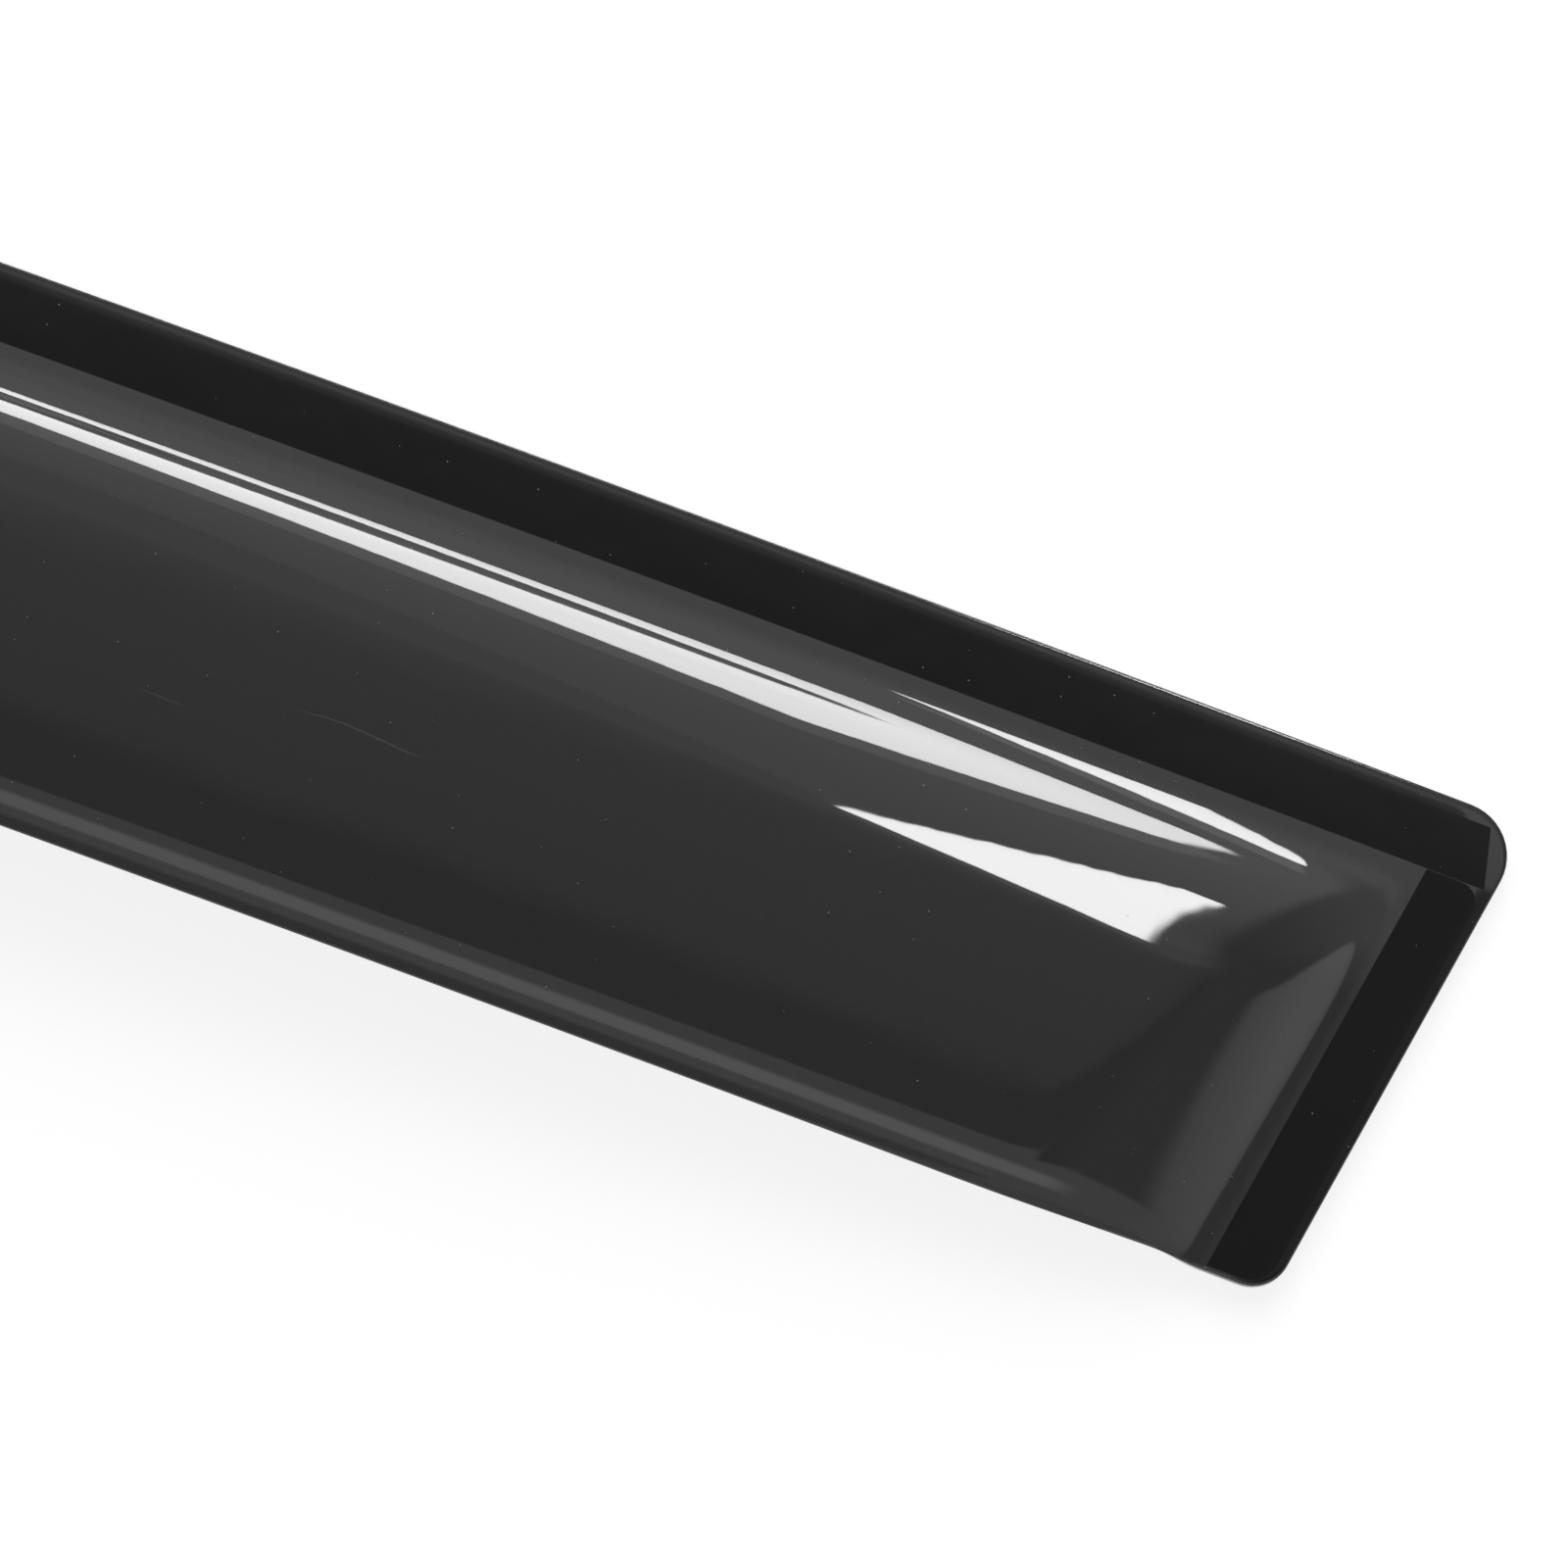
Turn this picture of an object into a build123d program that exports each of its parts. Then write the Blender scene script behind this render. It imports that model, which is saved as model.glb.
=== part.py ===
from build123d import *
import os
from itertools import pairwise
from math import cos, hypot, radians, sin, sinh, sqrt, tan

# Window rain deflector: a thermoformed visor of smoked acrylic that bonds to the frame of a car door
# with strips of black foam tape. It lies with its taped side down. X runs along the top edge, +Y points
# to the top edge and +Z points away from the glass. The two ends are mirror images of each other.

# Driving dimensions in millimetres, measured on the flange as if it were unrolled flat.
length = 620.0
width = 88.6
sheet = 2.5
end_setback = 13.8
top_corner_radius = 9.0
lower_corner_radius = 6.5
bow_radius = 2900.0

# The face stands out from the flange, and a shoulder leads up to it along the top and at each end.
# A shoulder is a foot that curves up, a straight ramp and a crest that curves level. The top shoulder
# softens from mid length to the ends, and the end shoulder softens from the top to the lower edge.
face_rise = 8.0
crown = 0.5
top_flange = 16.3
top_foot_mid = 5.0
top_foot_end = 6.0
top_ramp = 0.6
top_crest_mid = 13.4
top_crest_end = 23.5
end_flange = 12.5
end_foot = 3.5
end_ramp = 1.0
end_crest_top = 4.0
end_crest_low = 31.0

# The free lower edge rolls towards the glass, and overhangs the line of the flange.
lip_radius = 9.0
lip_reach = 7.5
lip_overhang = 1.5

# Foam tape behind the flange.
tape_width = 10.0
tape_thickness = 1.0
tape_top_margin = 2.0
tape_end_margin = 1.5
tape_joint_gap = 0.3
top_tape_setback = 5.9
top_tape_slant = 2.4
end_tape_round = 3.5
bond_gap = 0.1

# Spacing of the sections that the visor is lofted through: close at the ends, wide in the middle.
# The loft has one long bay at each end and a row of short bays over the bowed middle, counted in sections.
section_count = 40
section_crowding = 3.6
end_bay = 24
middle_bay = 2
flange_points = 4
foot_points = 4
crest_points = 5
face_points = 4
lip_points = 5
slope_step = 0.01

# Values worked out from the dimensions above.
half = length / 2
lean = end_setback / width
end_square = 1 / hypot(1, lean)
full_width = width + lip_overhang
flange_top = tape_thickness + bond_gap + sheet
lip_start = full_width - lip_reach
end_tape_top = tape_top_margin + tape_width + tape_joint_gap
end_tape_bottom = width - tape_end_margin
tape_outer = tape_end_margin / end_square
tape_inner = (tape_end_margin + tape_width) / end_square
arc_half = half - end_setback - tape_inner - tape_outer
bow_angle = arc_half / bow_radius


def blend(first, last, share):
    return first + (last - first) * share


def ease(reach, foot, ramp, crest):
    """Share of a shoulder's height at a reach past its start."""
    full = foot / 2 + ramp + crest / 2
    if reach <= 0:
        return 0.0
    if reach < foot:
        return reach**2 / (2 * foot) / full
    if reach < foot + ramp:
        return (reach - foot / 2) / full
    left = max(0.0, foot + ramp + crest - reach)
    return 1 - left**2 / (2 * crest) / full


def end_share(along, down):
    """How far the face has risen between the end flange, 0, and the face, 1."""
    from_end = (half - lean * down - abs(along)) * end_square
    crest = blend(end_crest_top, end_crest_low, down / full_width)
    return ease(from_end - end_flange, end_foot, end_ramp, crest)


def top_shoulder(along):
    """Foot, ramp and crest of the top shoulder at a place along the visor."""
    softness = (along / half) ** 2
    foot = blend(top_foot_mid, top_foot_end, softness)
    crest = blend(top_crest_mid, top_crest_end, softness)
    return foot, top_ramp, crest


def lip_drop(down):
    """How far the lower edge has rolled down."""
    reach = max(0.0, down - lip_start)
    return lip_radius - sqrt(lip_radius**2 - reach**2)


def rise(along, down):
    """Height of the outer surface above the flange."""
    shoulder = ease(down - top_flange, *top_shoulder(along))
    across = (down - top_flange) / (full_width - top_flange)
    bulge = 4 * crown * across * (1 - across)
    return end_share(along, down) * ((face_rise + bulge) * shoulder - lip_drop(down))


def bowed(along, height):
    """A point of the unrolled side view, carried onto the bow.

    The bow is an arc over the middle, with straight tangents under the end flanges.
    """
    angle = max(-bow_angle, min(bow_angle, along / bow_radius))
    past_arc = along - angle * bow_radius
    radius = bow_radius + height
    return Vector(radius * sin(angle) + past_arc * cos(angle), 0, radius * cos(angle) - past_arc * sin(angle))


# The outermost points of the tapes are the lowest, and lie on the ground.
top_tape_reach = half - top_tape_setback + top_tape_slant
end_tape_centre = half - lean * (end_tape_top + end_tape_round) - tape_outer - end_tape_round / end_square
ground = bowed(max(top_tape_reach, end_tape_centre + end_tape_round), 0).Z


def place(along, down, height):
    """A point of the unrolled visor in the frame of the part."""
    return bowed(along, height) + Vector(0, full_width / 2 - down, -ground)


def outer_point(along, down):
    return place(along, down, flange_top + rise(along, down))


def inner_point(along, down):
    """The point one sheet thickness square below the outer surface."""
    slope_along = (rise(along + slope_step, down) - rise(along - slope_step, down)) / (2 * slope_step)
    slope_down = (rise(along, down + slope_step) - rise(along, down - slope_step)) / (2 * slope_step)
    depth = sheet / sqrt(1 + slope_along**2 + slope_down**2)
    height = flange_top + rise(along, down) - depth
    return place(along + slope_along * depth, down + slope_down * depth, height)


def spread(start, stop, count):
    """Evenly spaced values from start up to, but not including, stop."""
    return [start + (stop - start) * i / count for i in range(count)]


def section_downs(station, edge):
    """Places across the visor that a section runs through, from the top edge to the lower edge."""
    foot, ramp, crest = top_shoulder(station)
    ramp_start = top_flange + foot
    crest_start = ramp_start + ramp
    face_start = crest_start + crest
    downs = spread(0, top_flange, flange_points) + spread(top_flange, ramp_start, foot_points)
    downs += [ramp_start] + spread(crest_start, face_start, crest_points)
    return downs + spread(face_start, lip_start, face_points) + spread(lip_start, edge, lip_points) + [edge]


def section(surface, station):
    """Line across one side of the sheet, which leans as much as the station is near an end."""
    downs = section_downs(station, width + lip_overhang * end_share(station, width))
    shares = [down / full_width for down in section_downs(0, full_width)]
    spots = [surface(station * (1 - lean * down / half), down) for down in downs]
    return Wire([Edge.make_spline(spots, parameters=shares)])


def skin(surface):
    """One side of the sheet, in bays lofted along its length through sections that crowd towards the ends."""
    crowd = [sinh(section_crowding * i / section_count) for i in range(section_count)]
    from_end = [half * step / sinh(section_crowding) for step in crowd]
    stations = [step - half for step in from_end] + [0.0] + [half - step for step in reversed(from_end)]
    sections = [section(surface, station) for station in stations]
    stops = [0, *range(end_bay, len(sections) - end_bay, middle_bay), len(sections) - 1]
    return [Shell.make_loft(sections[first : last + 1]).face() for first, last in pairwise(stops)]


def rim(outer, inner, axis, end):
    """The cut edge of the sheet between two bays, at one end of them along an axis."""
    return Face.make_surface_from_curves(outer.edges().sort_by(axis)[end], inner.edges().sort_by(axis)[end])


def corner_waste(corner, first, second, radius):
    """The sliver outside a rounded corner of two edges that leave the corner in two unit directions."""
    half_turn = radians(first.get_angle(second)) / 2
    inward = (first + second).normalized()
    reach = radius / tan(half_turn)
    start = corner + first * reach
    stop = corner + second * reach
    arc = ThreePointArc(start, corner + inward * (radius / sin(half_turn) - radius), stop)
    outside = corner - inward * radius
    return Face(Wire([arc, Line(stop, outside), Line(outside, start)]))


# Right end flange in its own plane: X along the flange from the corner, Y up the visor.
outboard = (cos(bow_angle), 0, -sin(bow_angle))
outward = (sin(bow_angle), 0, cos(bow_angle))
end_plane = Plane(place(half, 0, 0), x_dir=outboard, z_dir=outward)
inboard = Vector(-1, 0, 0)
down_end = Vector(-lean, -1, 0).normalized()


def visor_shell():
    """The thermoformed sheet: its two sides and the rims between them, with the four corners rounded."""
    outer, inner = skin(outer_point), skin(inner_point)
    long_rims = [rim(*bays, Axis.Y, end) for bays in zip(outer, inner) for end in (0, -1)]
    end_rims = [rim(outer[end], inner[end], Axis.X, end) for end in (0, -1)]
    top_waste = corner_waste(Vector(0, 0), inboard, down_end, top_corner_radius)
    lower_waste = corner_waste(Vector(-end_setback, -width), inboard, -down_end, lower_corner_radius)
    cutters = [extrude(end_plane * waste, 2 * flange_top, both=True) for waste in (top_waste, lower_waste)]
    blank = Solid(Shell(outer + inner + long_rims + end_rims))
    return blank - cutters - [mirror(cutter, Plane.YZ) for cutter in cutters]


def bow_line(height):
    """The side view's line at a height above the ground side of the tape."""
    ends = [place(along, 0, height) for along in (-half, -arc_half, arc_half, half)]
    arc = ThreePointArc(ends[1], place(0, 0, height), ends[2])
    return [Line(ends[0], ends[1]), arc, Line(ends[2], ends[3])]


def top_tape():
    """The long strip behind the top flange, cut on the slant at both ends to clear the round corners."""
    lower, upper = bow_line(0), bow_line(tape_thickness)
    ends = [Line(lower[0] @ 0, upper[0] @ 0), Line(lower[2] @ 1, upper[2] @ 1)]
    band = extrude(Face(Wire(lower + upper + ends)), full_width, dir=(0, -1, 0))
    upper_end = place(half - top_tape_setback, tape_top_margin, 0)
    lower_end = place(top_tape_reach, tape_top_margin + tape_width, 0)
    strip = Polygon(
        (upper_end.X, upper_end.Y), (-upper_end.X, upper_end.Y),
        (-lower_end.X, lower_end.Y), (lower_end.X, lower_end.Y), align=None,
    )
    return band & extrude(strip, place(0, 0, 2 * tape_thickness).Z)


def end_tape():
    """The short strip behind the right end flange, rounded beside the outline's lower corner."""
    top, bottom = -end_tape_top, -end_tape_bottom
    upper_outer = Vector(lean * top - tape_outer, top)
    lower_outer = Vector(lean * bottom - tape_outer, bottom)
    lower_inner = Vector(lean * bottom - tape_inner, bottom)
    upper_inner = Vector(lean * top - tape_inner, top)
    strip = Polygon(upper_outer, upper_inner, lower_inner, lower_outer, align=None)
    strip -= corner_waste(upper_outer, inboard, down_end, end_tape_round)
    strip -= corner_waste(lower_outer, inboard, -down_end, lower_corner_radius - tape_end_margin)
    return extrude(end_plane * strip, tape_thickness)


right_end_tape = end_tape()
parts = {
    "visor_shell": visor_shell(),
    "top_tape": top_tape(),
    "right_end_tape": right_end_tape,
    "left_end_tape": mirror(right_end_tape, Plane.YZ),
}
os.makedirs("parts", exist_ok=True)
for name, shape in parts.items():
    export_step(shape, f"parts/{name}.step")
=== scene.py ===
import math
from types import SimpleNamespace

import bpy
import numpy as np
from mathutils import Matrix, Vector


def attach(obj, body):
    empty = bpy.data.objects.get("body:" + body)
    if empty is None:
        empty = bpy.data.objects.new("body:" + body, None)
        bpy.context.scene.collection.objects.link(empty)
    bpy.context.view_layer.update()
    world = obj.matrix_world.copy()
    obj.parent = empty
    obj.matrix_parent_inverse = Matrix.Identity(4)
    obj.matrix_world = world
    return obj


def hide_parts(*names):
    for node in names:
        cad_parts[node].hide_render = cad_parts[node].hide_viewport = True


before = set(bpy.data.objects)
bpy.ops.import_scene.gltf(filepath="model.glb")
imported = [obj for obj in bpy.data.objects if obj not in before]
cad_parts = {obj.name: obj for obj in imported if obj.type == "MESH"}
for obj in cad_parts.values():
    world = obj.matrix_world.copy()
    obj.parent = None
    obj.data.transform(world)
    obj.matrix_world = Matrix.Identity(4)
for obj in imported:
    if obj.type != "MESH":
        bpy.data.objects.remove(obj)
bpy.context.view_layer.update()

bl_info = {
    "name": "Window rain deflector",
    "version": (1, 0, 0),
    "blender": (4, 5, 0),
    "location": "3D View > Sidebar > Visor",
    "description": "Builds a smoked car-window visor with foam tape, and its photo stage",
    "category": "Object",
}

MM = 0.001


# Fixed values of the mesh and the camera. The lip's roll stops just short of a quarter turn.
ROLL_LIMIT = 0.999
SLOPE_STEP = 0.02
CORNER_TURN = 98
TOP_CORNER_ROWS = 12
LOW_CORNER_ROWS = 17
FLANGE_ROWS = 4
FOOT_ROWS = 18
CREST_ROWS = 26
FACE_ROWS = 16
RIM_STEPS = 4
SENSOR_WIDTH = 36.0
FAR_CLIP = 20.0


# Settings

def length(name, description, millimetres):
    """A length, given in millimetres and kept in metres."""
    return bpy.props.FloatProperty(
        name=name, description=description, subtype="DISTANCE", unit="LENGTH", default=millimetres * MM)


def length_pair(name, description, first, second):
    """Two lengths, given in millimetres and kept in metres."""
    return bpy.props.FloatVectorProperty(
        name=name, description=description, size=2, unit="LENGTH", default=(first * MM, second * MM))


def share(name, description, default):
    return bpy.props.FloatProperty(
        name=name, description=description, subtype="FACTOR", min=0.0, max=1.0, default=default)


def colour(name, description, red, green, blue):
    return bpy.props.FloatVectorProperty(
        name=name, description=description, subtype="COLOR", size=4, min=0.0, max=1.0,
        default=(red, green, blue, 1.0))


def grey(name, description, level):
    return colour(name, description, level, level, level)


def strength(name, description, default):
    return bpy.props.FloatProperty(name=name, description=description, min=0.0, default=default)


def in_millimetres(settings):
    """The settings as plain values, with each length in millimetres."""
    values = {}
    for name in settings.__annotations__:
        value = getattr(settings, name)
        if settings.bl_rna.properties[name].unit == "LENGTH":
            value = np.round(np.array(value, dtype=float) / MM, 4).tolist()
        values[name] = value
    return SimpleNamespace(**values)


class VISOR_PG_shell(bpy.types.PropertyGroup):
    """Form of the smoked sheet, measured on the unrolled flange."""

    half: length("Half length", "Half the length of the top edge", 310.0)
    width: length("Width", "Top edge to the line of the lower edge", 88.6)
    sheet: length("Sheet", "Thickness of the sheet", 2.5)
    setback: length("End setback", "How far the ends lean inwards", 13.8)
    top_corner: length("Top corner", "Radius of the top corners", 9.0)
    low_corner: length("Lower corner", "Radius of the lower corners", 6.5)
    bow: length("Bow", "Radius of the lengthwise bow", 2900.0)
    arc_half: length("Bowed half", "Half the length of the bowed middle; the ends are straight", 283.043)
    base: length("Base", "Tape and bond below the sheet", 1.1)
    tape_reach: length("Tape reach", "Outermost point of the tape, which lies on the ground", 306.5)
    face_rise: length("Face rise", "Height of the face over the flange", 8.0)
    crown: length("Crown", "Bulge of the face across its width", 0.5)
    top_flange: length("Top flange", "Width of the top flange", 16.3)
    top_foot: length_pair("Top foot", "Foot of the top shoulder at mid length and at the ends", 5.0, 6.0)
    top_ramp: length("Top ramp", "Straight part of the top shoulder", 0.6)
    top_crest: length_pair("Top crest", "Crest of the top shoulder at mid length and at the ends", 13.4, 23.5)
    top_run_out: length("Top run-out", "Reach over which the top crest runs out into the face", 1.5)
    end_flange: length("End flange", "Width of the end flanges", 12.5)
    end_foot: length("End foot", "Foot of the end shoulder", 3.5)
    end_ramp: length("End ramp", "Straight part of the end shoulder", 1.0)
    end_crest: length_pair("End crest", "Crest of the end shoulder at the top and the lower edge", 4.0, 31.0)
    end_run_out: length("End run-out", "Longest reach over which the end crest runs out", 7.0)
    end_run_out_share: share("End run-out share", "Run-out of a short end crest, as a share of it", 0.45)
    lip_radius: length("Lip radius", "Radius of the rolled lower edge", 9.0)
    lip_reach: length("Lip reach", "Width of the rolled lower edge", 7.5)
    lip_run_in: length("Lip run-in", "Reach over which the lip starts to roll", 2.0)
    overhang: length("Overhang", "Lower edge past the line of the ends", 1.5)
    rim: length("Rim round", "Rounding of the cut edges", 0.45)
    columns: bpy.props.IntProperty(name="Columns", description="Mesh columns in half the length", default=185)
    crowding: bpy.props.FloatProperty(
        name="Crowding", description="How much the columns crowd towards the ends", default=3.0)


class VISOR_PG_finish(bpy.types.PropertyGroup):
    """Colours of the sheet, the tape and the floor, and how much light the sheet stops."""

    smoke_dark: grey("Smoke, dark", "Darkest tint of the sheet", 0.003)
    smoke_light: grey("Smoke, light", "Lightest tint of the sheet", 0.007)
    dust: colour("Dust", "Specks and scratches on the sheet", 0.7, 0.7, 0.69)
    foam_dark: grey("Foam, dark", "Pores of the tape", 0.006)
    foam_light: grey("Foam, light", "Skin of the tape", 0.022)
    floor_dark: grey("Floor, dark", "Darkest white of the floor", 0.82)
    floor_light: grey("Floor, light", "Lightest white of the floor", 0.86)
    floor_glow: grey("Floor glow", "White that the floor shows by itself", 0.84)
    flange_stop: share("Flange", "Light that the flange stops", 0.79)
    # The face's higher stop is painted shade: it darkens the floor seen under the raised face and the lower
    # part of the sheet.
    face_stop_with_painted_shade: share("Face", "Light that the face stops", 0.85)
    margin_stop: share("Tape margin", "Light that the sheet stops beside the outer edge of the tape", 0.93)
    rim_stop: share("Rim", "Light that the cut edges stop", 0.89)


class VISOR_PG_stage(bpy.types.PropertyGroup):
    """Camera, floor and lights."""

    aim: bpy.props.FloatVectorProperty(
        name="Aim", description="Point at the middle of the picture", subtype="TRANSLATION", unit="LENGTH",
        default=(0.192822, 0.007833, 0.012266))
    azimuth: bpy.props.FloatProperty(
        name="Azimuth", description="Camera's turn about the object", subtype="ANGLE", unit="ROTATION",
        default=math.radians(-20.0285))
    elevation: bpy.props.FloatProperty(
        name="Elevation", description="Camera's height angle", subtype="ANGLE", unit="ROTATION",
        default=math.radians(77.0))
    distance: bpy.props.FloatProperty(
        name="Distance", description="Camera to aim point", subtype="DISTANCE", unit="LENGTH", default=2.5)
    lens: bpy.props.FloatProperty(
        name="Lens", description="Focal length in millimetres", subtype="DISTANCE_CAMERA", unit="CAMERA",
        default=350.87)
    floor_size: bpy.props.FloatProperty(
        name="Floor", description="Side of the white floor", subtype="DISTANCE", unit="LENGTH", default=12.0)
    wedge: strength("Wedge", "Strength of the wedge light in reflections", 20.0)
    strip: strength("Strip", "Strength of the low strip light in reflections", 14.5)
    softbox: strength("Softbox", "Strength of the softbox in front, in reflections", 2.5)
    window: strength("Window", "Strength of the window that casts the shadow", 1.5)
    fill: strength("Fill", "Even light on all that isn't a reflection", 0.07)


# Form of the sheet

def blend(pair, share):
    return pair[0] + (pair[1] - pair[0]) * share


class Form:
    """The visor's formulas on arrays of places along and down the unrolled flange."""

    def __init__(self, s):
        self.s = s
        self.lean = s.setback / s.width
        self.square = 1 / math.hypot(1, self.lean)
        self.full_width = s.width + s.overhang
        self.lip_start = self.full_width - s.lip_reach
        self.flange_top = s.base + s.sheet
        self.ground = 0.0
        self.ground = self.bowed(np.array(s.tape_reach), 0)[1]

    @staticmethod
    def ease(reach, foot, ramp, crest, soft):
        """Share of a shoulder's height: a foot that curves up, a ramp and a crest that curves level.

        The crest runs out softly into the face, by a reach to either side of its end.
        """
        full = foot / 2 + ramp + crest / 2 + soft**2 / (6 * crest)
        reach = np.maximum(reach, 0)
        left = foot + ramp + crest - reach
        run_out = np.maximum(left + soft, 0) ** 3 / (6 * soft)
        lost = np.where(left < soft, run_out, left**2 + soft**2 / 3) / (2 * crest)
        upper = np.where(reach < foot + ramp, (reach - foot / 2) / full, 1 - lost / full)
        return np.where(reach < foot, reach**2 / (2 * foot) / full, upper)

    def end_share(self, along, down):
        s = self.s
        from_end = (s.half - self.lean * down - np.abs(along)) * self.square
        crest = blend(s.end_crest, down / self.full_width)
        soft = np.minimum(s.end_run_out, s.end_run_out_share * crest)
        return self.ease(from_end - s.end_flange, s.end_foot, s.end_ramp, crest, soft)

    def rise(self, along, down):
        s = self.s
        softness = (along / s.half) ** 2
        foot, crest = blend(s.top_foot, softness), blend(s.top_crest, softness)
        shoulder = self.ease(down - s.top_flange, foot, s.top_ramp, crest, s.top_run_out)
        across = (down - s.top_flange) / (self.full_width - s.top_flange)
        bulge = 4 * s.crown * across * (1 - across)
        soft = s.lip_run_in
        past = down - self.lip_start
        run_in = np.maximum(past + soft, 0) ** 3 / (12 * soft * s.lip_radius)
        roll = np.clip(past, 0, s.lip_radius * ROLL_LIMIT)
        rolled = s.lip_radius - np.sqrt(s.lip_radius**2 - roll**2) + soft**2 / (6 * s.lip_radius)
        drop = np.where(past < soft, run_in, rolled)
        return self.end_share(along, down) * ((s.face_rise + bulge) * shoulder - drop)

    def bowed(self, along, height):
        s = self.s
        limit = s.arc_half / s.bow
        angle = np.clip(along / s.bow, -limit, limit)
        past = along - angle * s.bow
        radius = s.bow + height
        return radius * np.sin(angle) + past * np.cos(angle), radius * np.cos(angle) - past * np.sin(angle)

    def outer(self, along, down):
        x, z = self.bowed(along, self.flange_top + self.rise(along, down))
        return np.stack([x, self.full_width / 2 - down + 0 * x, z - self.ground], -1)

    def normal(self, along, down, step=SLOPE_STEP):
        by_along = self.outer(along + step, down) - self.outer(along - step, down)
        by_down = self.outer(along, down + step) - self.outer(along, down - step)
        normal = np.cross(by_down, by_along)
        return normal / np.linalg.norm(normal, axis=-1, keepdims=True)

    def reach(self, down, inset):
        """Half length of the outline at a place down the visor, round its corners."""
        s = self.s
        line = s.half - self.lean * down - inset / self.square
        corners = ((s.top_corner, s.top_corner, -1), (s.low_corner, s.width - s.low_corner, 1))
        for radius, centre, side in corners:
            middle = s.half - self.lean * centre - radius / self.square
            past = (down - centre) * side
            tangent = (radius - inset) * self.lean * self.square * side
            arc = middle + np.sqrt(np.maximum((radius - inset) ** 2 - past**2, 0))
            line = np.where(past > tangent, arc, line)
        return line


def corner_steps(radius, inset, count):
    """Distances from a corner's centre, which turn a little past square because the ends lean."""
    return [(radius - inset) * math.cos(math.radians(CORNER_TURN * i / count)) for i in range(count + 1)]


def down_rows(form, inset):
    """Places down the visor of the mesh's rows: close in the corners, the shoulder and the lip."""
    s = form.s
    top = [s.top_corner - away for away in corner_steps(s.top_corner, inset, TOP_CORNER_ROWS)]
    foot_end = s.top_flange + s.top_foot[1] + s.top_ramp
    crest_end = foot_end + s.top_crest[1]
    low_centre = s.width - s.low_corner
    low = [low_centre + away for away in reversed(corner_steps(s.low_corner, inset, LOW_CORNER_ROWS))]
    stops = (
        (top[-1], s.top_flange, FLANGE_ROWS), (s.top_flange, foot_end, FOOT_ROWS),
        (foot_end, crest_end, CREST_ROWS), (crest_end, low[0], FACE_ROWS),
    )
    rows = top[:-1]
    for start, stop, count in stops:
        rows += [start + (stop - start) * i / count for i in range(count)]
    return np.array(rows + low)


def band(distance, stops):
    """1 between the two middle stops and 0 outside the outer ones."""
    start, full, last, end = stops
    return np.clip((distance - start) / (full - start), 0, 1) * np.clip((end - distance) / (end - last), 0, 1)


def face_painted_shade_mark(form, along, down):
    """1 on the raised face and the lower part of the sheet, 0 on the top flange. There the sheet is made more
    opaque, as painted shade of the floor under it.
    """
    low_start, low_reach = 26, 12
    low_part = (down - low_start) / low_reach
    return np.clip(np.maximum(form.rise(along, down) / form.s.face_rise, low_part), 0, 1)


def margin_mark(down, from_end):
    """1 in the narrow bands along the outer edges of the tapes, in millimetres from the sheet's edges."""
    top_band, end_band = (0.9, 1.6, 2.9, 3.6), (0.2, 0.6, 2.2, 2.9)
    bare_end, top_tape_foot = 5.5, 13.0
    over_top_tape = band(down, top_band) * (from_end > bare_end)
    over_end_tape = band(from_end, end_band) * (down > top_tape_foot)
    return np.maximum(over_top_tape, over_end_tape)


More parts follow.
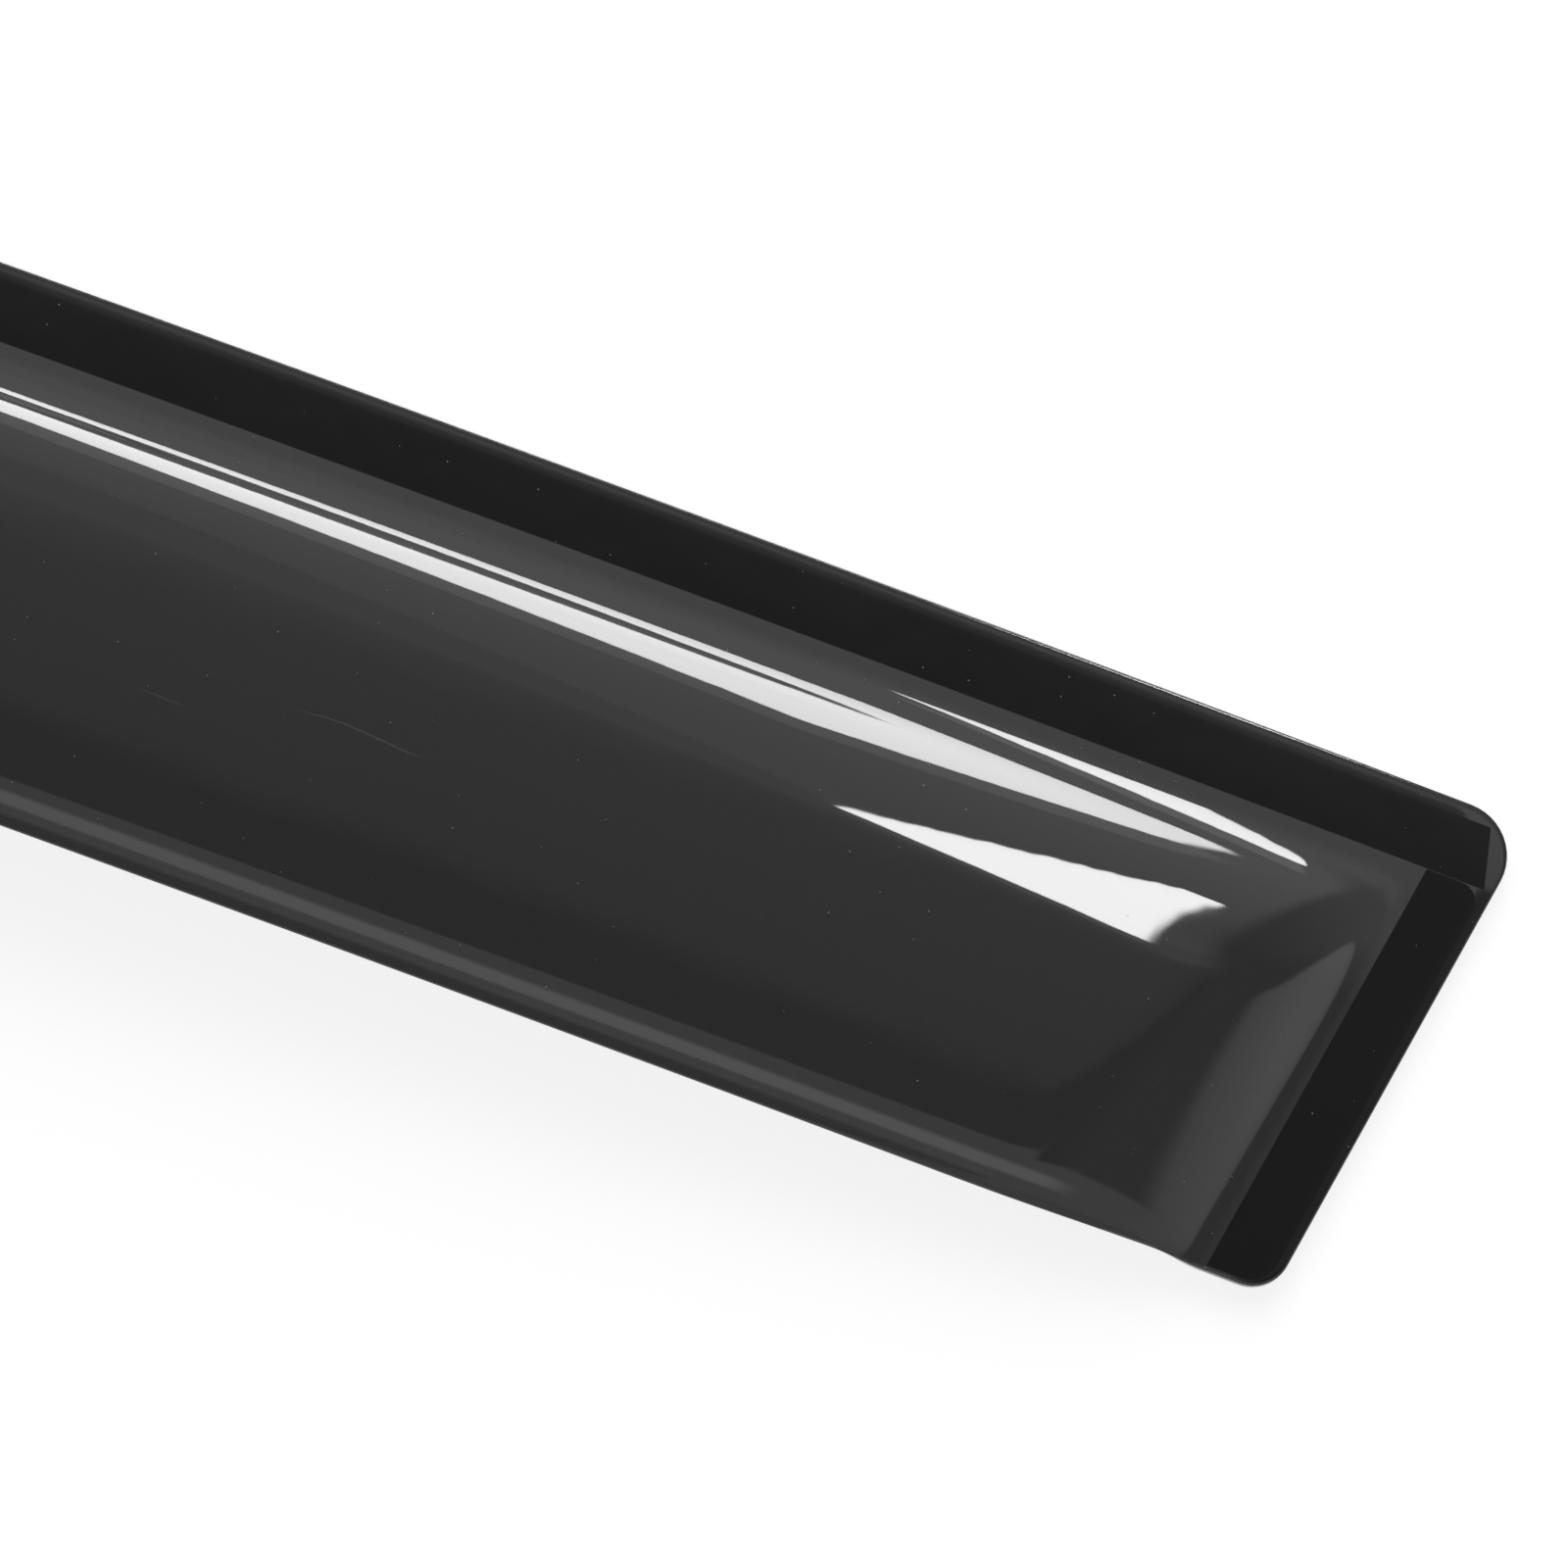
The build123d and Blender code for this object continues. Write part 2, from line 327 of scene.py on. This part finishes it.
def shell_mesh(form):
    """Vertices and faces of the sheet, with marks for its rims, for its face where painted shade goes, and
    for the bands beside the tapes' outer edges.
    """
    s = form.s
    inset = s.rim
    rows = down_rows(form, inset)
    steps = np.sinh(s.crowding * np.arange(s.columns + 1) / s.columns) / math.sinh(s.crowding)
    stations = np.concatenate([steps - 1, (1 - steps)[::-1][1:]])
    reach = form.reach(rows, inset)
    along = stations[:, None] * reach[None, :]
    edge = s.width + s.overhang * form.end_share(stations * (s.half - s.setback), s.width)
    scale = (edge - inset - form.lip_start) / (s.width - inset - form.lip_start)
    past_lip = np.maximum(rows - form.lip_start, 0)
    down = rows[None, :] + past_lip[None, :] * (scale[:, None] - 1)
    outer = form.outer(along, down)
    normal = form.normal(along, down)
    inner = outer - normal * s.sheet
    count, width = along.shape
    index = np.arange(count * width).reshape(count, width)
    ring = np.concatenate([index[:, 0], index[-1, 1:], index[-2::-1, -1], index[0, -2:0:-1]])
    flat_outer, flat_inner, flat_normal = (grid.reshape(-1, 3) for grid in (outer, inner, normal))
    tangent = np.roll(flat_outer[ring], -1, axis=0) - np.roll(flat_outer[ring], 1, axis=0)
    outward = np.cross(flat_normal[ring], tangent)
    outward /= np.linalg.norm(outward, axis=-1, keepdims=True)
    loops = []
    turns = [math.radians(90 * i / RIM_STEPS) for i in range(1, RIM_STEPS + 1)]
    for side, sign, order in ((flat_outer, -1, turns), (flat_inner, 1, turns[::-1])):
        for turn in order:
            lift = sign * inset * (1 - math.cos(turn))
            loops.append(side[ring] + outward * inset * math.sin(turn) + flat_normal[ring] * lift)
    total = count * width
    vertices = np.concatenate([flat_outer, flat_inner] + loops)
    quads = np.stack([index[:-1, :-1], index[:-1, 1:], index[1:, 1:], index[1:, :-1]], -1).reshape(-1, 4)
    faces = [quads, quads[:, ::-1] + total]
    rounds = [2 * total + k * len(ring) + np.arange(len(ring)) for k in range(len(loops))]
    bands = [ring] + rounds + [ring + total]
    for first, second in zip(bands, bands[1:]):
        faces.append(np.stack([first, np.roll(first, -1), np.roll(second, -1), second], -1))
    rim = np.concatenate([np.zeros(2 * total), np.ones(len(loops) * len(ring))])
    from_end = reach[None, :] + inset - np.abs(along)
    face_painted_shade, tape_margin = face_painted_shade_mark(form, along, down), margin_mark(down, from_end)
    marks = {"rim": rim}
    for name, grid in (("raised", face_painted_shade), ("tape_margin", tape_margin)):
        flat = grid.reshape(-1)
        marks[name] = np.concatenate([flat, flat] + [flat[ring]] * len(loops))
    return vertices * MM, np.concatenate(faces), marks


# Node helpers

def add(tree, kind, settings=None, inputs=None):
    """Adds a node, sets its properties and sets or links its inputs by name or number."""
    node = tree.nodes.new(kind)
    for name, value in (settings or {}).items():
        setattr(node, name, value)
    for name, value in (inputs or {}).items():
        if isinstance(value, bpy.types.NodeSocket):
            tree.links.new(value, node.inputs[name])
        else:
            node.inputs[name].default_value = value
    return node


def maths(tree, operation, first, second=0.0):
    return add(tree, "ShaderNodeMath", {"operation": operation}, {0: first, 1: second}).outputs[0]


def step(tree, value, edge, soft):
    """0 below an edge and 1 above it, with a soft change."""
    node = add(tree, "ShaderNodeMapRange", {"interpolation_type": "SMOOTHSTEP"}, {
        "Value": value, "From Min": edge - soft, "From Max": edge + soft})
    return node.outputs["Result"]


def below(tree, value, edge, soft):
    return maths(tree, "SUBTRACT", 1.0, step(tree, value, edge, soft))


def all_of(tree, masks):
    result = masks[0]
    for mask in masks[1:]:
        result = maths(tree, "MULTIPLY", result, mask)
    return result


def over(tree, base, value, mask):
    """A value laid over another through a mask."""
    node = add(tree, "ShaderNodeMix", {"data_type": "FLOAT"}, {0: mask, 2: base, 3: value})
    return node.outputs[0]


def group(name, outputs, inputs=()):
    """An empty shader node group with the named float or colour sockets."""
    tree = bpy.data.node_groups.new(name, "ShaderNodeTree")
    for title, kind, value in inputs:
        socket = tree.interface.new_socket(title, in_out="INPUT", socket_type=kind)
        socket.default_value = value
    for title, kind in outputs:
        tree.interface.new_socket(title, in_out="OUTPUT", socket_type=kind)
    return tree, tree.nodes.new("NodeGroupInput"), tree.nodes.new("NodeGroupOutput")


def dust_group():
    """Specks and short fibres of dust, and fine hairline scratches, as masks."""
    tree, source, sink = group(
        "Dust and scratches", [("Dust", "NodeSocketFloat"), ("Scratch", "NodeSocketFloat")],
        [("Density", "NodeSocketFloat", 0.5)])
    place = add(tree, "ShaderNodeTexCoord").outputs["Object"]
    cells = add(tree, "ShaderNodeTexVoronoi", {"voronoi_dimensions": "2D"}, {
        "Vector": place, "Scale": 130.0, "Randomness": 1.0})
    chance = add(tree, "ShaderNodeSeparateColor", None, {0: cells.outputs["Color"]}).outputs["Red"]
    spare = maths(tree, "SUBTRACT", chance, maths(tree, "SUBTRACT", 1.0, source.outputs["Density"]))
    speck = maths(tree, "LESS_THAN", cells.outputs["Distance"], maths(tree, "MULTIPLY", spare, 0.04))
    warp = add(tree, "ShaderNodeTexNoise", None, {"Vector": place, "Scale": 14.0, "Detail": 2.0})
    bend = add(tree, "ShaderNodeVectorMath", {"operation": "MULTIPLY_ADD"}, {
        0: warp.outputs["Color"], 1: (0.02, 0.02, 0.02), 2: place})
    turned = add(tree, "ShaderNodeMapping", None, {
        "Vector": bend.outputs[0], "Rotation": (0.0, 0.0, 0.7), "Scale": (6.0, 900.0, 1.0)})
    lines = add(tree, "ShaderNodeTexNoise", None, {"Vector": turned.outputs[0], "Scale": 1.0, "Detail": 1.0})
    patch = add(tree, "ShaderNodeTexNoise", None, {"Vector": place, "Scale": 25.0, "Detail": 2.0})
    hair = all_of(tree, [step(tree, lines.outputs[0], 0.74, 0.02), step(tree, patch.outputs[0], 0.58, 0.06)])
    tree.links.new(speck, sink.inputs["Dust"])
    tree.links.new(hair, sink.inputs["Scratch"])
    return tree


def grain_group():
    """Fine unevenness: a slow drift and a fine grain, both about one half."""
    tree, source, sink = group(
        "Drift and grain", [("Drift", "NodeSocketFloat"), ("Grain", "NodeSocketFloat")],
        [("Drift Scale", "NodeSocketFloat", 12.0), ("Grain Scale", "NodeSocketFloat", 2500.0)])
    place = add(tree, "ShaderNodeTexCoord").outputs["Object"]
    drift = add(tree, "ShaderNodeTexNoise", None, {
        "Vector": place, "Scale": source.outputs["Drift Scale"], "Detail": 3.0})
    grain = add(tree, "ShaderNodeTexNoise", None, {
        "Vector": place, "Scale": source.outputs["Grain Scale"], "Detail": 2.0})
    tree.links.new(drift.outputs[0], sink.inputs["Drift"])
    tree.links.new(grain.outputs[0], sink.inputs["Grain"])
    return tree


def shared_group(name, build):
    return bpy.data.node_groups.get(name) or build()


def new_material(name):
    material = bpy.data.materials.new(name)
    material.use_nodes = True
    return material, material.node_tree, material.node_tree.nodes["Principled BSDF"]


def use_group(tree, group_tree, inputs=None):
    node = tree.nodes.new("ShaderNodeGroup")
    node.node_tree = group_tree
    for name, value in (inputs or {}).items():
        node.inputs[name].default_value = value
    return node


def ramp(tree, value, low, high):
    """A value from 0 to 1 spread between two colours."""
    node = add(tree, "ShaderNodeMix", {"data_type": "RGBA"}, {0: value, 6: low, 7: high})
    return node.outputs[2]


def scaled(tree, value, factor, offset):
    """A value times a factor, plus an offset."""
    result = maths(tree, "MULTIPLY_ADD", value, factor)
    result.node.inputs[2].default_value = offset
    return result


def mark(tree, name):
    return add(tree, "ShaderNodeAttribute", {"attribute_name": name}).outputs["Fac"]


def grain_node(tree, drift_scale, grain_scale):
    scales = {"Drift Scale": drift_scale, "Grain Scale": grain_scale}
    return use_group(tree, shared_group("Drift and grain", grain_group), scales)


def acrylic_material(finish):
    """Smoked acrylic: dark, glossy and half see-through, with dust and hairline scratches."""
    material, tree, shader = new_material("Smoked acrylic")
    dust = use_group(tree, shared_group("Dust and scratches", dust_group), {"Density": 0.42})
    grain = grain_node(tree, drift_scale=14.0, grain_scale=60.0)
    speck, drift = dust.outputs["Dust"], grain.outputs["Drift"]
    smoke = ramp(tree, drift, tuple(finish.smoke_dark), tuple(finish.smoke_light))
    faint_scratch = scaled(tree, dust.outputs["Scratch"], factor=0.22, offset=0.0)
    marks = maths(tree, "MAXIMUM", speck, faint_scratch)
    tree.links.new(ramp(tree, marks, smoke, tuple(finish.dust)), shader.inputs["Base Color"])
    gloss = scaled(tree, drift, factor=0.016, offset=0.006)
    matt_speck = scaled(tree, speck, factor=0.7, offset=0.0)
    tree.links.new(maths(tree, "MAXIMUM", gloss, matt_speck), shader.inputs["Roughness"])
    # Painted shade: the face mark raises the stop, so the floor seen under the raised face looks darker.
    stop = over(tree, finish.flange_stop, finish.face_stop_with_painted_shade, mark(tree, "raised"))
    # Higher stop in the narrow bands beside the tapes' outer edges.
    stop = over(tree, stop, finish.margin_stop, mark(tree, "tape_margin"))
    stop = over(tree, stop, finish.rim_stop, mark(tree, "rim"))
    tree.links.new(maths(tree, "MAXIMUM", speck, stop), shader.inputs["Alpha"])
    shader.inputs["IOR"].default_value = 1.49
    shader.inputs["Specular IOR Level"].default_value = 0.63
    bump = add(tree, "ShaderNodeBump", None, {
        "Strength": 0.04, "Distance": 0.0004, "Height": grain.outputs["Grain"]})
    tree.links.new(bump.outputs[0], shader.inputs["Normal"])
    return material


def tape_material(finish):
    """Black acrylic foam: matt, with a fine open grain."""
    material, tree, shader = new_material("Foam tape")
    grain = grain_node(tree, drift_scale=60.0, grain_scale=2200.0)
    foam = ramp(tree, grain.outputs["Grain"], tuple(finish.foam_dark), tuple(finish.foam_light))
    tree.links.new(foam, shader.inputs["Base Color"])
    rough = scaled(tree, grain.outputs["Drift"], factor=0.2, offset=0.72)
    tree.links.new(rough, shader.inputs["Roughness"])
    shader.inputs["Specular IOR Level"].default_value = 0.25
    bump = add(tree, "ShaderNodeBump", None, {
        "Strength": 0.35, "Distance": 0.0004, "Height": grain.outputs["Grain"]})
    tree.links.new(bump.outputs[0], shader.inputs["Normal"])
    return material


def floor_material(finish):
    """White photo paper with a faint unevenness. Most of its white is its own, so its shadows stay faint."""
    material, tree, shader = new_material("White floor")
    grain = grain_node(tree, drift_scale=3.0, grain_scale=700.0)
    paper = ramp(tree, grain.outputs["Drift"], tuple(finish.floor_dark), tuple(finish.floor_light))
    tree.links.new(paper, shader.inputs["Base Color"])
    shader.inputs["Roughness"].default_value = 0.9
    shader.inputs["Specular IOR Level"].default_value = 0.1
    path = add(tree, "ShaderNodeLightPath")
    seen = path.outputs["Is Camera Ray"]
    for kind in ("Is Glossy Ray", "Is Transmission Ray"):
        seen = maths(tree, "MAXIMUM", seen, path.outputs[kind])
    glow = ramp(tree, seen, (0.0, 0.0, 0.0, 1.0), tuple(finish.floor_glow))
    tree.links.new(glow, shader.inputs["Emission Color"])
    shader.inputs["Emission Strength"].default_value = 1.0
    return material


# Surroundings

class Sky:
    """Nodes that place the studio's parts by direction, as the camera's side sees them.

    Places high on the sky are slopes from straight up: x to the right of the camera and y away from it.
    Places low on the sky are a bearing and a rise in degrees: the bearing turns right from straight ahead.
    """

    def __init__(self, tree, azimuth):
        self.tree = tree
        self.way = add(tree, "ShaderNodeTexCoord").outputs["Generated"]
        self.height = add(tree, "ShaderNodeSeparateXYZ", None, {0: self.way}).outputs["Z"]
        self.back = (math.sin(azimuth), math.cos(azimuth), 0.0)
        lowest_height = 0.02
        depth = maths(tree, "MAXIMUM", self.height, lowest_height)
        rightward = self.along((math.cos(azimuth), -math.sin(azimuth), 0.0))
        backward = self.along(self.back)
        self.x = maths(tree, "DIVIDE", rightward, depth)
        self.y = maths(tree, "DIVIDE", backward, depth)
        turn = maths(tree, "ARCTAN2", rightward, backward)
        self.bearing = maths(tree, "MULTIPLY", turn, math.degrees(1))
        self.rise = maths(tree, "MULTIPLY", maths(tree, "ARCSINE", self.height), math.degrees(1))
        self.lengthwise = self.lean(0.94, -0.342)
        self.crosswise = self.lean(0.364, 1.0)
        self.outboard = step(tree, self.lengthwise, 0.19, 0.03)

    def along(self, axis):
        """How far a direction points along an axis."""
        settings = {"operation": "DOT_PRODUCT"}
        return add(self.tree, "ShaderNodeVectorMath", settings, {0: self.way, 1: axis}).outputs["Value"]

    def lean(self, share_x, share_y):
        part_x = maths(self.tree, "MULTIPLY", self.x, share_x)
        part_y = maths(self.tree, "MULTIPLY", self.y, share_y)
        return maths(self.tree, "ADD", part_x, part_y)

    def slant(self, start, slope, at_bearing):
        """Rise of a slanted line that passes a start at a bearing."""
        return scaled(self.tree, self.bearing, slope, start - slope * at_bearing)

    def over_line(self, line, soft=0.3):
        return step(self.tree, maths(self.tree, "SUBTRACT", self.rise, line), 0.0, soft)

    def under_line(self, line, soft=0.3):
        return below(self.tree, maths(self.tree, "SUBTRACT", self.rise, line), 0.0, soft)

    def spread(self, value, start, stop, low, high):
        """A value between two stops, spread between a low and a high one."""
        return add(self.tree, "ShaderNodeMapRange", None, {
            "Value": value, "From Min": start, "From Max": stop, "To Min": low, "To Max": high,
        }).outputs["Result"]


def walls(sky):
    """Grey walls, darker on the camera's side."""
    return over(sky.tree, 0.75, 0.55, below(sky.tree, sky.lean(-0.15, 1.0), 0.0, 0.1))


def dark_ceiling(sky, light):
    """A dark ceiling that brightens in steps away from the camera, and a dark corner to its right."""
    tree, x, y = sky.tree, sky.x, sky.y
    behind_outboard = all_of(tree, [sky.outboard, step(tree, y, -0.12, 0.03)])
    behind = maths(tree, "MAXIMUM", step(tree, y, 0.02, 0.04), behind_outboard)
    ceiling = all_of(tree, [below(tree, x, 0.17, 0.012), below(tree, y, 0.75, 0.12), behind])
    overhead = all_of(tree, [below(tree, y, 0.27, 0.015), below(tree, x, 0.45, 0.03), behind])
    fade = sky.spread(sky.crosswise, 0.181, 0.193, 0.06, 0.21)
    for start, stop, more in ((0.193, 0.238, 0.08), (0.241, 0.265, 0.3)):
        fade = maths(tree, "ADD", fade, sky.spread(sky.crosswise, start, stop, 0.0, more))
    light = over(tree, light, fade, maths(tree, "MAXIMUM", ceiling, overhead))
    corner = [step(tree, x, 0.34, 0.14), below(tree, sky.lean(-1.333, 1.0), 0.0, 0.25)]
    corner += [step(tree, sky.lean(0.5, 1.0), 0.0, 0.05)]
    return over(tree, light, 0.13, all_of(tree, corner))


def camera_side(sky, light):
    """The room on the camera's side: dim low down, lighter above, with a broad lamp high up."""
    tree = sky.tree
    side = all_of(tree, [below(tree, sky.y, 0.02, 0.04), maths(tree, "SUBTRACT", 1.0, sky.outboard)])
    high = step(tree, sky.height, 0.707, 0.05)
    light = over(tree, light, 0.3, side)
    light = over(tree, light, 0.6, all_of(tree, [side, step(tree, sky.height, 0.42, 0.05)]))
    light = over(tree, light, 0.5, all_of(tree, [side, high]))
    lamp = [high, below(tree, sky.lean(0.5, 1.0), -0.4, 0.12), below(tree, sky.lengthwise, 0.4, 0.12)]
    return over(tree, light, 1.4, all_of(tree, lamp))


def side_panel(sky, light):
    """A pale panel on the right, with a slanted upper edge, that shows in the end shoulder."""
    tree = sky.tree
    upper_edge = maths(tree, "MINIMUM", sky.slant(28.0, 2.0, 98.3), 45.0)
    panel = [sky.under_line(upper_edge, 5.0), below(tree, sky.bearing, 150.0, 3.0)]
    panel += [step(tree, sky.x, 0.33, 0.06)]
    return over(tree, light, sky.spread(sky.rise, 20.0, 45.0, 1.05, 0.62), all_of(tree, panel))


def softbox(sky, light, strength_in_mirror):
    """A softbox on the camera's left that shows in the lip."""
    tree = sky.tree
    box = [step(tree, sky.bearing, -145.0, 2.0), below(tree, sky.bearing, -110.0, 2.0)]
    box += [step(tree, sky.rise, 30.0, 3.0), below(tree, sky.rise, 44.0, 3.0)]
    return over(tree, light, strength_in_mirror, all_of(tree, box))


def wedge_light(sky, light, strength_in_mirror):
    """A long tapered lamp behind the visor, by the slopes of its four corners."""
    corners = ((0.213, 0.212), (0.592, 1.075), (0.585, 1.085), (0.160, 0.245))
    sharpness, lowest_height = 0.0015, 0.1
    masks = []
    for (x0, y0), (x1, y1) in zip(corners, corners[1:] + corners[:1]):
        size = math.hypot(x1 - x0, y1 - y0)
        across = ((y0 - y1) / size, (x1 - x0) / size)
        masks.append(step(sky.tree, sky.lean(*across), x0 * across[0] + y0 * across[1], sharpness))
    masks.append(step(sky.tree, sky.height, lowest_height, 0.01))
    return over(sky.tree, light, strength_in_mirror, all_of(sky.tree, masks))


def strip_light(sky, light, strength_in_mirror):
    """A low strip behind the visor that shows in the top shoulder, with a pointed right end."""
    tree = sky.tree
    strip = [step(tree, sky.rise, 1.8, 0.3)]
    strip += [step(tree, sky.bearing, -80.0, 1.0), below(tree, sky.bearing, 24.4, 0.15)]
    strip += [sky.under_line(maths(tree, "MAXIMUM", sky.slant(11.2, 1.76, 13.9), 11.0))]
    strip += [sky.over_line(sky.slant(2.0, 1.09, 13.8)), sky.under_line(sky.slant(23.6, -2.5, 22.4))]
    return over(tree, light, strength_in_mirror, all_of(tree, strip))


def daylight(sky, stage):
    """A window high behind the visor, and a weak even fill."""
    away, up, focus = 0.78, 0.626, 12.0
    facing = sky.along((sky.back[0] * away, sky.back[1] * away, up))
    beam = maths(sky.tree, "POWER", maths(sky.tree, "MAXIMUM", facing, 0.0), focus)
    return scaled(sky.tree, beam, stage.window, stage.fill)


def surroundings(stage):
    """A studio that only reflections see, white for the camera, and a window for all other light."""
    world = bpy.data.worlds.new("Studio")
    world.use_nodes = True
    tree = world.node_tree
    sky = Sky(tree, stage.azimuth)
    studio = camera_side(sky, dark_ceiling(sky, walls(sky)))
    studio = softbox(sky, side_panel(sky, studio), stage.softbox)
    studio = strip_light(sky, wedge_light(sky, studio, stage.wedge), stage.strip)
    studio = maths(tree, "MULTIPLY", studio, step(tree, sky.height, 0.0, 0.005))
    path = add(tree, "ShaderNodeLightPath")
    plain = over(tree, daylight(sky, stage), 1.0, path.outputs["Is Camera Ray"])
    white = (1.0, 1.0, 1.0, 1.0)
    soft = add(tree, "ShaderNodeBackground", None, {"Color": white, "Strength": plain}).outputs[0]
    mirrored = add(tree, "ShaderNodeBackground", None, {"Color": white, "Strength": studio}).outputs[0]
    choice = add(tree, "ShaderNodeMixShader", None, {0: path.outputs["Is Glossy Ray"], 1: soft, 2: mirrored})
    tree.links.new(choice.outputs[0], tree.nodes["World Output"].inputs["Surface"])
    return world


def shade_smooth(mesh):
    mesh.polygons.foreach_set("use_smooth", np.ones(len(mesh.polygons), dtype=bool))


# Operators

class VISOR_OT_shell(bpy.types.Operator):
    """Builds the smoked sheet with rounded rims in place of the CAD sheet"""

    bl_idname = "visor.shell"
    bl_label = "Build the sheet"

    def execute(self, context):
        vertices, faces, marks = shell_mesh(Form(in_millimetres(context.scene.visor_shell)))
        mesh = bpy.data.meshes.new("visor_sheet")
        mesh.from_pydata(vertices.tolist(), [], faces.tolist())
        for name, values in marks.items():
            mesh.attributes.new(name, "FLOAT", "POINT").data.foreach_set("value", values.astype(np.float32))
        shade_smooth(mesh)
        mesh.materials.append(acrylic_material(context.scene.visor_finish))
        sheet = bpy.data.objects.new("visor_sheet", mesh)
        context.scene.collection.objects.link(sheet)
        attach(sheet, "root")
        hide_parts("visor_shell")
        return {"FINISHED"}


class VISOR_OT_tapes(bpy.types.Operator):
    """Gives the foam tapes their finish"""

    bl_idname = "visor.tapes"
    bl_label = "Finish the tapes"

    def execute(self, context):
        material = tape_material(context.scene.visor_finish)
        for name in ("top_tape", "right_end_tape", "left_end_tape"):
            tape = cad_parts[name]
            tape.data.materials.clear()
            tape.data.materials.append(material)
        return {"FINISHED"}


class VISOR_OT_stage(bpy.types.Operator):
    """Sets up the floor, the surroundings and the camera"""

    bl_idname = "visor.stage"
    bl_label = "Set the stage"

    def execute(self, context):
        scene = context.scene
        s = scene.visor_stage
        side = s.floor_size / 2
        mesh = bpy.data.meshes.new("floor")
        corners = [(-side, -side, 0), (side, -side, 0), (side, side, 0), (-side, side, 0)]
        mesh.from_pydata(corners, [], [(0, 1, 2, 3)])
        mesh.materials.append(floor_material(scene.visor_finish))
        floor = bpy.data.objects.new("floor", mesh)
        scene.collection.objects.link(floor)
        scene.world = surroundings(s)
        flat = math.cos(s.elevation)
        way = Vector((-math.sin(s.azimuth) * flat, -math.cos(s.azimuth) * flat, math.sin(s.elevation)))
        data = bpy.data.cameras.new("camera")
        data.lens = s.lens
        data.sensor_width = SENSOR_WIDTH
        data.clip_end = FAR_CLIP
        camera = bpy.data.objects.new("camera", data)
        camera.location = Vector(s.aim) + way * s.distance
        camera.rotation_euler = way.to_track_quat("Z", "Y").to_euler()
        scene.collection.objects.link(camera)
        scene.camera = camera
        scene.view_settings.view_transform = "Standard"
        return {"FINISHED"}


class VISOR_PT_panel(bpy.types.Panel):
    """Buttons and settings of the visor"""

    bl_label = "Window rain deflector"
    bl_idname = "VISOR_PT_panel"
    bl_space_type = "VIEW_3D"
    bl_region_type = "UI"
    bl_category = "Visor"

    def draw(self, context):
        layout = self.layout
        scene = context.scene
        for settings in (scene.visor_shell, scene.visor_finish, scene.visor_stage):
            box = layout.box()
            for name in settings.__annotations__:
                box.prop(settings, name)
        for operator in OPERATORS:
            layout.operator(operator.bl_idname)


OPERATORS = (VISOR_OT_shell, VISOR_OT_tapes, VISOR_OT_stage)
CLASSES = (VISOR_PG_shell, VISOR_PG_finish, VISOR_PG_stage) + OPERATORS + (VISOR_PT_panel,)


def register():
    for cls in CLASSES:
        bpy.utils.register_class(cls)
    bpy.types.Scene.visor_shell = bpy.props.PointerProperty(type=VISOR_PG_shell)
    bpy.types.Scene.visor_finish = bpy.props.PointerProperty(type=VISOR_PG_finish)
    bpy.types.Scene.visor_stage = bpy.props.PointerProperty(type=VISOR_PG_stage)


def unregister():
    del bpy.types.Scene.visor_stage
    del bpy.types.Scene.visor_finish
    del bpy.types.Scene.visor_shell
    for cls in reversed(CLASSES):
        bpy.utils.unregister_class(cls)


def main():
    register()
    bpy.ops.visor.shell()
    bpy.ops.visor.tapes()
    bpy.ops.visor.stage()


if __name__ == "__main__":
    main()
